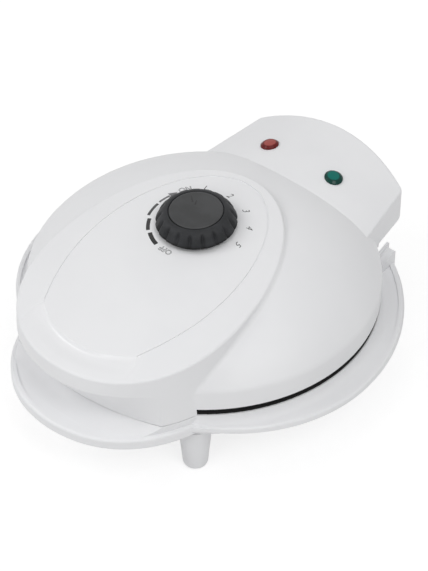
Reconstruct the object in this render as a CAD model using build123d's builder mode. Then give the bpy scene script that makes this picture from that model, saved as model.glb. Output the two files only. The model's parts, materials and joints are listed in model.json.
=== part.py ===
from build123d import *
from math import acos, asin, atan, cos, degrees, hypot, radians, sin, sqrt, tan
import os

os.makedirs("parts", exist_ok=True)

# Frame: origin on the bench under the centre of the plates, +Y towards the hinge, +Z up, mm
# Gaps between pieces
face_gap = 0.1
side_gap = 0.4
running_gap = 0.06
press_gap = 0.03
lid_gap = 0.3
hinge_side_gap = 1.0

# Levels above the bench
base_rim_z = 52.4
lid_rim_z = 57.0
parting_z = (base_rim_z + lid_rim_z) / 2

# Lid dome: a vertical rim wall under an ellipsoid
wall = 2.6
lid_radius = 107.3
dome_radius = 112.6
dome_height = 59.9
dome_centre_z = 52.2
rim_round = 7.0

# Egg-shaped raised panel with the finger grip in front
panel_half_width = 68.5
panel_rear_y = 46.0
panel_wide_y = -55.0
panel_front_y = -131.0
panel_rear_fullness = 0.5523
panel_front_fullness = 0.6
panel_outline_z = 95.0
panel_draft = 2.4
panel_edge_round = 1.6
panel_foot_round = 3.0
foot_edge_length = 137.0
foot_edge_rise = 15.6
foot_edge_width = 69.5
crown_top_z = 111.8
crown_top_y = 46.0
crown_long_radius = 633.0
crown_cross_radius = 357.0
crown_reach = 150.0
groove_half_width = 51.0
groove_rear_y = 39.5
groove_wide_y = -42.0
groove_end_x = 36.0
groove_end_y = -102.0
groove_width = 1.0
groove_depth = 0.5
thumb_rest_y = -114.0
thumb_rest_arc_radius = 65.0
thumb_rest_step = 2.4
thumb_rest_reach = 14.0
thumb_rest_depth = 2.3
thumb_rest_round = 6.0

# Scoop under the grip for the fingers
seam_front_y = -114.6
seam_radius = 165.0
scoop_top_z = 82.0
scoop_overhang = 5.2
scoop_half_width = 57.0
scoop_nose_radius = 64.3
handle_gap = 0.5

# Rear block of the lid
block_front_y = 50.0
block_front_half_width = 64.5
block_front_edge_y = 76.0
block_rear_half_width = 56.6
block_corner_y = 122.7
block_rear_y = 133.0
block_crown_radius = 120.0
block_crown_z = 98.4
block_edge_round = 1.5
block_corner_round = 4.0
block_heel_round = 7.0

# Hinge across the rear
hinge_y = 114.0
hinge_z = 66.0
knuckle_radius = 9.5
knuckle_half_width = 44.5
pin_radius = 2.5
pin_length = 15.0
pin_depth_in_knuckle = 8.0
pin_chamfer = 0.4

# Base shell
drum_radius = 105.0
drum_bottom_z = 32.5
drum_edge_round = 4.0
pan_bottom_z = 22.0
pan_radius = 80.0
pan_shoulder_radius = 90.0
ring_inner_radius = 103.6
collar_top_z = 47.5
collar_thickness = 4.0
collar_edge_round = 1.6
dish_depth = 1.2
dish_inset = 3.6
tray_slope_width = 14.0
tray_slope_inset = 2.8
wing_radius = 121.8
wing_front_x = 62.0
wing_front_y = -90.0
cove_radius = 5.0
tray_half_width = 72.0
tray_front_y = -139.3
tray_bottom_z = 40.0
ear_inner_x = 62.0
ear_outer_x = 69.2
ear_top_z = 56.0
ear_rear_y = 101.0
ear_ramp_y = 80.0
ear_crest_y = 97.0
ear_round = 1.0
knuckle_foot_y = 118.0
knuckle_foot_z = 34.0
knuckle_root_y = 94.0
knuckle_waist_z = 50.0
rib_gap = 1.2
rib_thickness = 1.8
rib_front_y = 89.0
rib_rear_y = 102.5
rib_top_z = 57.8
wing_corner_round = 4.0

# Feet
foot_x = 57.0
foot_y = 75.6
foot_top_radius = 10.2
foot_end_radius = 7.4
foot_end_round = 3.2
pad_radius = 4.6
pad_height = 2.4
pad_stand_out = 0.8
pad_round = 0.6

# Cord inlet in the foot of the hinge knuckle
inlet_z = 39.5
inlet_bore_radius = 3.5
inlet_bush_radius = 4.8
inlet_flange_radius = 6.2
inlet_flange_thickness = 2.0
inlet_bush_depth = 13.0
relief_start_radius = 5.2
relief_end_radius = 4.5
relief_ring_count = 4
relief_ring_width = 1.2
relief_ring_depth = 0.7

# Plates
flange_radius = 106.7
flange_edge_round = 0.4
plate_radius = 100.0
plate_depth = 9.0
plate_edge_round = 1.0
pocket_depth = 6.3
pocket_draft = 12.0
heart_count = 5
heart_reach = 95.0
heart_lobe_offset = 19.0
heart_web = 2.5
peg_pitch = 12.4
peg_width = 7.4
peg_height = 4.3
peg_draft = 12.0
peg_margin = 6.0

# Plate screws between the hearts
screw_circle_radius = 92.5
screw_angles = (54, 126, 270)
screw_radius = 1.9
screw_length = 14.0
screw_head_radius = 3.8
screw_head_height = 2.2
boss_radius = 4.5

# Heating elements and reflectors
element_circle_radius = 62.0
element_radius = 3.25
element_arc = 318.0
tail_length = 16.0
sheet = 0.8
reflector_radius = 84.0
reflector_floor_radius = 76.0
reflector_depth = 8.6
reflector_lip = 3.0

# Knob and thermostat
knob_y = -7.0
knob_seat_z = 110.3
knob_tilt = 3.0
knob_radius = 24.4
knob_foot_radius = 22.4
knob_belly_height = 2.5
knob_belly_round = 1.2
knob_height = 11.2
knob_shoulder_radius = 20.2
knob_shoulder_round = 2.4
knob_wall = 2.0
cap_radius = 17.0
cap_recess = 1.6
cap_stand_out = 0.3
cap_gap = 0.3
flute_count = 20
flute_radius = 4.2
flute_depth = 1.5
flute_top = 9.0
shaft_radius = 3.0
shaft_flat = 0.8
shaft_top = 8.4
shaft_bottom = -17.0
hub_radius = 5.6
shaft_hole_radius = 4.2
thermostat_width = 30.0
thermostat_depth = 22.0
thermostat_height = 13.0
thermostat_top = -6.6
thermostat_round = 2.0
blade_width = 6.3
blade_length = 7.0
bracket_length = 44.0
bracket_width = 18.0
bracket_thickness = 1.2
bracket_boss_spacing = 36.0
bracket_boss_radius = 3.4
bracket_screw_radius = 1.4
bracket_screw_length = 6.0
bracket_head_radius = 2.8
bracket_head_height = 1.6

# Indicator lenses and lamps in the rear block
lamp_x = 25.2
lamp_y = 92.7
lens_radius = 5.8
lens_rise = 2.3
lens_edge = 0.9
lens_top_radius = 4.2
lens_top_drop = 0.25
lens_round = 0.5
lens_wall = 0.6
lens_stem_radius = 4.3
lens_stem_length = 6.0
lens_bore_radius = 3.2
lamp_radius = 2.4
lamp_length = 13.0
sleeve_wall = 1.0
sleeve_length = 11.0

# Terminals and fuse in the base
terminal_length = 36.0
terminal_width = 14.0
terminal_height = 9.0
terminal_y = 52.0
terminal_round = 1.5
terminal_ways = 3
terminal_pitch = 11.0
terminal_well_radius = 2.4
terminal_wire_radius = 1.8
fuse_radius = 2.6
fuse_length = 16.0
fuse_y = -30.0
clip_width = 6.0

# Levels and radii worked out from the sizes above
flange_thickness = (lid_rim_z - base_rim_z - lid_gap) / 2 - face_gap
plate_face_z = parting_z - lid_gap / 2
plate_back_z = plate_face_z - plate_depth
flange_back_z = plate_face_z - flange_thickness
handle_seam_z = base_rim_z + 2 * face_gap
handle_floor_z = lid_rim_z + wall
plateau_z = handle_seam_z - handle_gap
shelf_z = collar_top_z - dish_depth
seam_centre_y = seam_front_y + seam_radius
collar_bottom_z = collar_top_z - collar_thickness
foot_end_z = pad_stand_out
tunnel_radius = knuckle_radius + 1.2
tunnel_wall = 2.0
tunnel_half_width = knuckle_half_width + hinge_side_gap
neck_front_y = flange_radius + 1.1
parting_plane = Plane.XY.offset(parting_z)
knob_plane = Plane(
    origin=(0, knob_y, knob_seat_z),
    x_dir=(1, 0, 0),
    z_dir=(0, -sin(radians(knob_tilt)), cos(radians(knob_tilt))),
)


def egg_sketch(half_width, rear_y, front_y):
    """Egg seen from above, widest near the grip and fuller at its front end."""
    rear = rear_y - panel_wide_y
    front = panel_wide_y - front_y
    with BuildSketch() as egg:
        with BuildLine():
            Bezier(
                (0, rear_y),
                (panel_rear_fullness * half_width, rear_y),
                (half_width, panel_wide_y + panel_rear_fullness * rear),
                (half_width, panel_wide_y),
            )
            Bezier(
                (half_width, panel_wide_y),
                (half_width, panel_wide_y - panel_front_fullness * front),
                (panel_front_fullness * half_width, front_y),
                (0, front_y),
            )
            mirror(about=Plane.YZ)
        make_face()
    return egg.sketch


def panel_outline(level, inset):
    """The panel's outline at one level: its draft makes it wider towards the bench."""
    grow = (panel_outline_z - level) * tan(radians(panel_draft)) - inset
    return egg_sketch(panel_half_width + grow, panel_rear_y + grow, panel_front_y - grow)


def dome_form(inset, low_z):
    """Lid body: rim wall, rounded shoulder and elliptical dome, all inset."""
    radius = lid_radius - inset
    half_width = dome_radius - inset
    height = dome_height - inset
    shoulder = degrees(acos(radius / half_width))
    shoulder_z = dome_centre_z + height * sin(radians(shoulder))
    with BuildPart() as dome:
        with BuildSketch(Plane.XZ):
            with BuildLine():
                EllipticalCenterArc(
                    (0, dome_centre_z),
                    half_width,
                    height,
                    start_angle=shoulder,
                    arc_size=90 - shoulder,
                )
                Polyline(
                    (0, dome_centre_z + height), (0, low_z), (radius, low_z), (radius, shoulder_z)
                )
            make_face()
            fillet(vertices().sort_by_distance((radius, shoulder_z))[0], rim_round)
        revolve(axis=Axis.Z)
    return dome.part


def crown_form(drop):
    """Barrel whose upper side is the panel's crowned surface, lowered by drop."""
    top = crown_top_z - drop
    edge_z = top - crown_cross_radius + sqrt(crown_cross_radius**2 - crown_reach**2)
    axle_z = crown_top_z - crown_long_radius
    with BuildPart() as crown:
        with BuildSketch(Plane.XZ.offset(-crown_top_y)):
            with BuildLine():
                ThreePointArc((-crown_reach, edge_z), (0, top), (crown_reach, edge_z))
                Polyline(
                    (crown_reach, edge_z),
                    (crown_reach, 0),
                    (-crown_reach, 0),
                    (-crown_reach, edge_z),
                )
            make_face()
        revolve(axis=Axis((0, crown_top_y, axle_z), (1, 0, 0)))
    return crown.part


def scoop_form(inset):
    """Space for the fingers under the grip, its rear wall moved back by inset."""
    levels = (
        (handle_seam_z - 1, seam_front_y, seam_radius),
        (scoop_top_z, panel_front_y - scoop_overhang, scoop_nose_radius),
    )
    with BuildPart() as scoop:
        for level_z, front_y, radius in levels:
            centre_y = front_y + radius
            arc_radius = radius - inset
            side_y = centre_y - sqrt(arc_radius**2 - scoop_half_width**2)
            with BuildSketch(Plane.XY.offset(level_z)):
                with BuildLine():
                    ThreePointArc(
                        (-scoop_half_width, side_y),
                        (0, centre_y - arc_radius),
                        (scoop_half_width, side_y),
                    )
                    Polyline(
                        (scoop_half_width, side_y),
                        (scoop_half_width, 2 * panel_front_y),
                        (-scoop_half_width, 2 * panel_front_y),
                        (-scoop_half_width, side_y),
                    )
                make_face()
        loft(ruled=True)
    return scoop.part


def block_side_x(y):
    """Half the width of the rear block at one place along its slanting sides."""
    slant = (block_front_half_width - block_rear_half_width) / (block_corner_y - block_front_edge_y)
    return block_front_half_width - slant * (y - block_front_edge_y)


def block_form():
    """Rear block of the lid with its crowned roof and rounded heel."""
    with BuildPart() as block:
        with BuildSketch(Plane.XY.offset(lid_rim_z)):
            with BuildLine():
                Polyline(
                    (-block_rear_half_width, block_corner_y),
                    (-block_front_half_width, block_front_edge_y),
                    (-block_front_half_width, block_front_y),
                    (block_front_half_width, block_front_y),
                    (block_front_half_width, block_front_edge_y),
                    (block_rear_half_width, block_corner_y),
                )
                ThreePointArc(
                    (block_rear_half_width, block_corner_y),
                    (0, block_rear_y),
                    (-block_rear_half_width, block_corner_y),
                )
            make_face()
        extrude(amount=block_crown_z)
        with BuildSketch(Plane.XZ.offset(-block_front_y)):
            with Locations((0, block_crown_z - block_crown_radius)):
                Circle(block_crown_radius)
        extrude(amount=block_front_y - 2 * block_rear_y, mode=Mode.INTERSECT)
        fillet(edges().filter_by(Axis.Z).sort_by(Axis.Y)[-2:], block_corner_round)
        heel = edges().group_by(Axis.Z)[0].group_by(Axis.Y)[-1].sort_by(SortBy.LENGTH)[-1]
        fillet(heel, block_heel_round)
        roof = faces().filter_by(GeomType.CYLINDER).sort_by(Axis.Z)[-1]
        front = roof.edges().sort_by(Axis.Y)[0]
        fillet(roof.edges() - [front], block_edge_round)
    return block.part


def tunnel_form(grow):
    """Room in the lid for the hinge knuckle, through the whole opening angle."""
    radius = tunnel_radius + grow
    with BuildPart() as tunnel:
        with BuildSketch(Plane.YZ.offset(-tunnel_half_width - grow)):
            with BuildLine():
                Line((hinge_y - radius, 0), (hinge_y - radius, hinge_z))
                RadiusArc((hinge_y - radius, hinge_z), (hinge_y, hinge_z + radius), radius)
                Polyline(
                    (hinge_y, hinge_z + radius),
                    (2 * block_rear_y, hinge_z + radius),
                    (2 * block_rear_y, 0),
                    (hinge_y - radius, 0),
                )
            make_face()
        extrude(amount=2 * (tunnel_half_width + grow))
    return tunnel.part


def heart_sketch(inset):
    """One heart along +X, its sides parallel to the edges of its sector."""
    half_angle = radians(180 / heart_count)
    lobe_radius = heart_lobe_radius - inset
    tip_x = heart_tip_x + inset / sin(half_angle)
    tangent_x = heart_lobe_x - lobe_radius * sin(half_angle)
    tangent_y = heart_lobe_offset + lobe_radius * cos(half_angle)
    notch_x = heart_lobe_x + sqrt(lobe_radius**2 - heart_lobe_offset**2)
    with BuildSketch() as heart:
        with BuildLine():
            Line((tip_x, 0), (tangent_x, tangent_y))
            TangentArc(
                (tangent_x, tangent_y),
                (notch_x, 0),
                tangent=(cos(half_angle), sin(half_angle)),
            )
            mirror(about=Plane.XZ)
        make_face()
    return heart.sketch


def peg_places():
    """Grid points of one heart that leave a whole peg inside it."""
    half_angle = radians(180 / heart_count)
    reach = int(heart_reach / peg_pitch) + 1
    places = []
    for column in range(reach):
        for row in range(-reach, reach + 1):
            x = heart_notch_x - peg_pitch * (column + 1)
            y = peg_pitch * row
            side = (x - heart_tip_x) * sin(half_angle) - abs(y) * cos(half_angle)
            lobe = hypot(x - heart_lobe_x, abs(y) - heart_lobe_offset)
            in_lobe = x < heart_lobe_x or lobe < heart_lobe_radius - peg_margin
            if side > peg_margin and in_lobe:
                places.append((x, y))
    return places


# Hearts: the lobes touch the reach circle and stay half a web off the sector edges
heart_half_angle = radians(180 / heart_count)
heart_drop = heart_web + heart_lobe_offset * cos(heart_half_angle)
heart_a = cos(heart_half_angle) ** 2
heart_b = heart_drop + heart_reach * sin(heart_half_angle) ** 2
heart_c = heart_drop**2 + (heart_lobe_offset**2 - heart_reach**2) * sin(heart_half_angle) ** 2
heart_lobe_radius = (sqrt(heart_b**2 - heart_a * heart_c) - heart_b) / heart_a
heart_lobe_x = sqrt((heart_reach - heart_lobe_radius) ** 2 - heart_lobe_offset**2)
heart_tip_x = heart_web / sin(heart_half_angle)
heart_notch_x = heart_lobe_x + sqrt(heart_lobe_radius**2 - heart_lobe_offset**2)

# Lower plate: cast disc with a thin flange, heart pockets and their pegs
with BuildPart() as lower_plate:
    with BuildSketch(Plane.XY.offset(flange_back_z)):
        Circle(flange_radius)
    extrude(amount=flange_thickness)
    fillet(edges(), flange_edge_round)
    with BuildSketch(Plane.XY.offset(plate_back_z)):
        Circle(plate_radius)
    extrude(amount=plate_depth - flange_thickness)
    fillet(edges().group_by(Axis.Z)[0], plate_edge_round)
    with BuildSketch(Plane.XY.offset(plate_face_z)):
        with PolarLocations(0, heart_count, start_angle=90):
            add(heart_sketch(0))
    extrude(amount=-pocket_depth, taper=pocket_draft, mode=Mode.SUBTRACT)
    with BuildSketch(Plane.XY.offset(plate_face_z - pocket_depth)):
        with PolarLocations(0, heart_count, start_angle=90):
            with Locations(*peg_places()):
                Rectangle(peg_width, peg_width)
    extrude(amount=peg_height, taper=peg_draft)
    for angle in screw_angles:
        with Locations(Plane.XY.offset(plate_face_z).rotated((0, 0, angle))):
            with Locations((screw_circle_radius, 0)):
                CounterSinkHole(
                    screw_radius + side_gap, screw_head_radius + side_gap, plate_depth
                )
lower_plate.part.label = "lower_plate"
export_step(lower_plate.part, "parts/lower_plate.step")

# Upper plate: the same casting turned over above the parting
with BuildPart() as upper_plate:
    mirror(lower_plate.part, about=parting_plane)
upper_plate.part.label = "upper_plate"
export_step(upper_plate.part, "parts/upper_plate.step")

# Heating element: open ring against the plate's back, its ends turned away from the plate
element_z = plate_back_z - face_gap - element_radius
element_start = 90 + (360 - element_arc) / 2
with BuildPart() as lower_element:
    with BuildSketch(Plane.XZ.rotated((0, 0, element_start))):
        with Locations((element_circle_radius, element_z)):
            Circle(element_radius)
    revolve(axis=Axis.Z, revolution_arc=element_arc)
    with Locations(Plane.XY.offset(element_z)):
        with PolarLocations(
            element_circle_radius, 2, start_angle=element_start, angular_range=element_arc, endpoint=True
        ):
            Sphere(element_radius)
            Cylinder(element_radius, tail_length, align=(Align.CENTER, Align.CENTER, Align.MAX))
lower_element.part.label = "lower_element"
export_step(lower_element.part, "parts/lower_element.step")

with BuildPart() as upper_element:
    mirror(lower_element.part, about=parting_plane)
upper_element.part.label = "upper_element"
export_step(upper_element.part, "parts/upper_element.step")

# Reflector: pressed pan with a lip on the plate's back and three tabs under the screws
lip_top_z = plate_back_z - face_gap
lip_bottom_z = lip_top_z - sheet
reflector_floor_z = lip_top_z - reflector_depth
with BuildPart() as lower_reflector:
    with BuildSketch(Plane.XZ):
        with BuildLine():
            Polyline(
                (0, reflector_floor_z),
                (reflector_floor_radius, reflector_floor_z),
                (reflector_radius, lip_bottom_z),
                (reflector_radius + reflector_lip, lip_bottom_z),
                (reflector_radius + reflector_lip, lip_top_z),
                (reflector_radius - sheet, lip_top_z),
                (reflector_floor_radius - sheet, reflector_floor_z + sheet),
                (0, reflector_floor_z + sheet),
                (0, reflector_floor_z),
            )
        make_face()
    revolve(axis=Axis.Z)
    for angle in screw_angles:
        with BuildSketch(Plane.XY.offset(lip_bottom_z).rotated((0, 0, angle))):
            with Locations((screw_circle_radius, 0)):
                Circle(boss_radius)
                Rectangle(
                    screw_circle_radius - reflector_radius,
                    2 * boss_radius,
                    align=(Align.MAX, Align.CENTER),
                )
                Circle(screw_radius + side_gap, mode=Mode.SUBTRACT)
        extrude(amount=sheet)
    with BuildSketch(Plane.XY.offset(reflector_floor_z)):
        with PolarLocations(
            element_circle_radius, 2, start_angle=element_start, angular_range=element_arc, endpoint=True
        ):
            Circle(element_radius + side_gap)
    extrude(amount=sheet, mode=Mode.SUBTRACT)
lower_reflector.part.label = "lower_reflector"
export_step(lower_reflector.part, "parts/lower_reflector.step")

with BuildPart() as upper_reflector:
    mirror(lower_reflector.part, about=parting_plane)
upper_reflector.part.label = "upper_reflector"
export_step(upper_reflector.part, "parts/upper_reflector.step")

# Plate screws: countersunk, flush with the webs between the hearts
with BuildPart() as lower_plate_screws:
    for angle in screw_angles:
        with BuildSketch(Plane.XZ.rotated((0, 0, angle))):
            with BuildLine():
                Polyline(
                    (screw_circle_radius, plate_face_z),
                    (screw_circle_radius + screw_head_radius, plate_face_z),
                    (screw_circle_radius + screw_radius, plate_face_z - screw_head_height),
                    (screw_circle_radius + screw_radius, plate_face_z - screw_length),
                    (screw_circle_radius, plate_face_z - screw_length),
                    (screw_circle_radius, plate_face_z),
                )
            make_face()
        screw_x = screw_circle_radius * cos(radians(angle))
        screw_y = screw_circle_radius * sin(radians(angle))
        revolve(axis=Axis((screw_x, screw_y, 0), (0, 0, 1)))
lower_plate_screws.part.label = "lower_plate_screws"
export_step(lower_plate_screws.part, "parts/lower_plate_screws.step")

with BuildPart() as upper_plate_screws:
    mirror(lower_plate_screws.part, about=parting_plane)
upper_plate_screws.part.label = "upper_plate_screws"
export_step(upper_plate_screws.part, "parts/upper_plate_screws.step")

# Thermal fuse in its strap under the lower reflector
fuse_z = reflector_floor_z - face_gap - fuse_radius
with BuildPart() as thermal_fuse:
    with BuildSketch(Plane.YZ.offset(-fuse_length / 2)):
        with Locations((fuse_y, fuse_z)):
            Circle(fuse_radius)
    extrude(amount=fuse_length)
    with BuildSketch(Plane.YZ.offset(-clip_width / 2)):
        with Locations((fuse_y, fuse_z)):
            Circle(fuse_radius + sheet)
            Rectangle(
                2 * (fuse_radius + sheet), fuse_radius, align=(Align.CENTER, Align.MIN)
            )
        with Locations((fuse_y, fuse_z + fuse_radius)):
            Rectangle(
                2 * (fuse_radius + clip_width), sheet, align=(Align.CENTER, Align.MAX)
            )
            Rectangle(
                2 * (fuse_radius + clip_width),
                2 * sheet,
                align=(Align.CENTER, Align.MIN),
                mode=Mode.SUBTRACT,
            )
    extrude(amount=clip_width)
thermal_fuse.part.label = "thermal_fuse"
export_step(thermal_fuse.part, "parts/thermal_fuse.step")

# Terminal block on the pan floor, three ways with screw wells
terminal_floor_z = pan_bottom_z + wall + face_gap
with BuildPart() as terminal_block:
    with BuildSketch(Plane.XY.offset(terminal_floor_z)):
        with Locations((0, terminal_y)):
            RectangleRounded(terminal_length, terminal_width, terminal_round)
    extrude(amount=terminal_height)
    with BuildSketch(Plane.XY.offset(terminal_floor_z + terminal_height)):
        with Locations((0, terminal_y)):
            with GridLocations(terminal_pitch, 1, terminal_ways, 1):
                Circle(terminal_well_radius)
    extrude(amount=-terminal_height / 2, mode=Mode.SUBTRACT)
    with BuildSketch(Plane.XZ.offset(-terminal_y - terminal_width / 2)):
        with Locations((0, terminal_floor_z + terminal_height / 2)):
            with GridLocations(terminal_pitch, 1, terminal_ways, 1):
                Circle(terminal_wire_radius)
    extrude(amount=terminal_width, mode=Mode.SUBTRACT)
terminal_block.part.label = "terminal_block"
export_step(terminal_block.part, "parts/terminal_block.step")

# Inlet bush: plug in the wall, outer flange and a ringed sleeve that keeps a lead from kinking
inlet_plane = Plane(origin=(0, knuckle_foot_y, inlet_z), x_dir=(1, 0, 0), z_dir=(0, 1, 0))
relief_start = face_gap + inlet_flange_thickness
relief_end = -tray_front_y - knuckle_foot_y
relief_pitch = (relief_end - relief_start) / (relief_ring_count + 1)
with BuildPart() as inlet_bush:
    with BuildSketch(inlet_plane.offset(-inlet_bush_depth)):
        Circle(inlet_bush_radius)
    extrude(amount=inlet_bush_depth + relief_start)
    with BuildSketch(inlet_plane.offset(face_gap)):
        Circle(inlet_flange_radius)
    extrude(amount=inlet_flange_thickness)
    fillet(edges().group_by(Axis.Y)[-1], inlet_flange_thickness / 3)
    with BuildSketch(inlet_plane.offset(relief_start)):
        Circle(relief_start_radius)
    with BuildSketch(inlet_plane.offset(relief_end)):
        Circle(relief_end_radius)
    loft()
    for ring in range(1, relief_ring_count + 1):
        with BuildSketch(inlet_plane.offset(relief_start + ring * relief_pitch)):
            Circle(relief_start_radius)
            Circle(relief_end_radius - relief_ring_depth, mode=Mode.SUBTRACT)
        extrude(amount=relief_ring_width / 2, both=True, mode=Mode.SUBTRACT)
    with BuildSketch(inlet_plane.offset(-inlet_bush_depth)):
        Circle(inlet_bore_radius)
    extrude(amount=inlet_bush_depth + relief_end, mode=Mode.SUBTRACT)
inlet_bush.part.label = "inlet_bush"
export_step(inlet_bush.part, "parts/inlet_bush.step")

# Two steel pins, each shared by the knuckle and one cheek of the lid
pin_inner_x = knuckle_half_width - pin_depth_in_knuckle
with BuildPart() as hinge_pins:
    for side in (-1, 1):
        with BuildSketch(Plane.YZ.offset(side * pin_inner_x)):
            with Locations((hinge_y, hinge_z)):
                Circle(pin_radius)
        extrude(amount=side * pin_length)
    chamfer(edges(), pin_chamfer)
hinge_pins.part.label = "hinge_pins"
export_step(hinge_pins.part, "parts/hinge_pins.step")


def base_plan(inset):
    """Outline of the collar: two wings, straight rear edge and the front lobe."""
    radius = wing_radius - inset
    rear_y = ear_rear_y - inset
    corner_x = sqrt(radius**2 - rear_y**2)
    with BuildSketch() as plan:
        with BuildLine():
            Line((0, rear_y), (corner_x, rear_y))
            RadiusArc((corner_x, rear_y), (radius, 0), radius)
            TangentArc((radius, 0), (wing_front_x - inset, wing_front_y), tangent=(0, -1))
            Line((wing_front_x - inset, wing_front_y), (0, wing_front_y))
            mirror(about=Plane.YZ)
        make_face()
        fillet(vertices().group_by(Axis.Y)[-1], wing_corner_round)
        add(egg_sketch(tray_half_width - inset, 0, tray_front_y + inset))
    return plan.sketch


def plateau_sketch():
    """Footprint of the lid's handle on the base."""
    with BuildSketch() as plateau:
        add(panel_outline(plateau_z, 0))
        with Locations((0, seam_centre_y)):
            Circle(seam_radius - tray_slope_width / 2, mode=Mode.INTERSECT)
    return plateau.sketch


# Slope between the tray's floor and the handle's front seam, hollow towards the floor
with BuildPart() as tray_slope:
    with BuildSketch(Plane.XY.offset(shelf_z - wall)):
        add(egg_sketch(tray_half_width - tray_slope_inset, 0, tray_front_y + tray_slope_inset))
    extrude(amount=plateau_z)
    with BuildSketch(Plane.YZ):
        with BuildLine():
            slope_foot = (seam_front_y - tray_slope_width, shelf_z)
            TangentArc(slope_foot, (seam_front_y, plateau_z), tangent=(1, 0))
            Polyline(
                (seam_front_y, plateau_z),
                (seam_front_y + tray_slope_width, plateau_z),
                (seam_front_y + tray_slope_width, shelf_z - wall),
                (seam_front_y - tray_slope_width, shelf_z - wall),
                slope_foot,
            )
        make_face()
    revolve(axis=Axis((0, seam_centre_y, 0), (0, 0, 1)), mode=Mode.INTERSECT)

# Foot: a tapered round leg with a seat for its pad
with BuildPart() as foot:
    with BuildSketch(Plane.XZ):
        with BuildLine():
            Polyline(
                (0, foot_end_z),
                (foot_end_radius, foot_end_z),
                (foot_top_radius, drum_bottom_z + wall / 2),
                (0, drum_bottom_z + wall / 2),
                (0, foot_end_z),
            )
        make_face()
        fillet(vertices().sort_by_distance((foot_end_radius, foot_end_z))[0], foot_end_round)
    revolve(axis=Axis.Z)
    with BuildSketch(Plane.XY.offset(foot_end_z)):
        Circle(pad_radius + press_gap)
    extrude(amount=pad_height - pad_stand_out + face_gap, mode=Mode.SUBTRACT)

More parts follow.
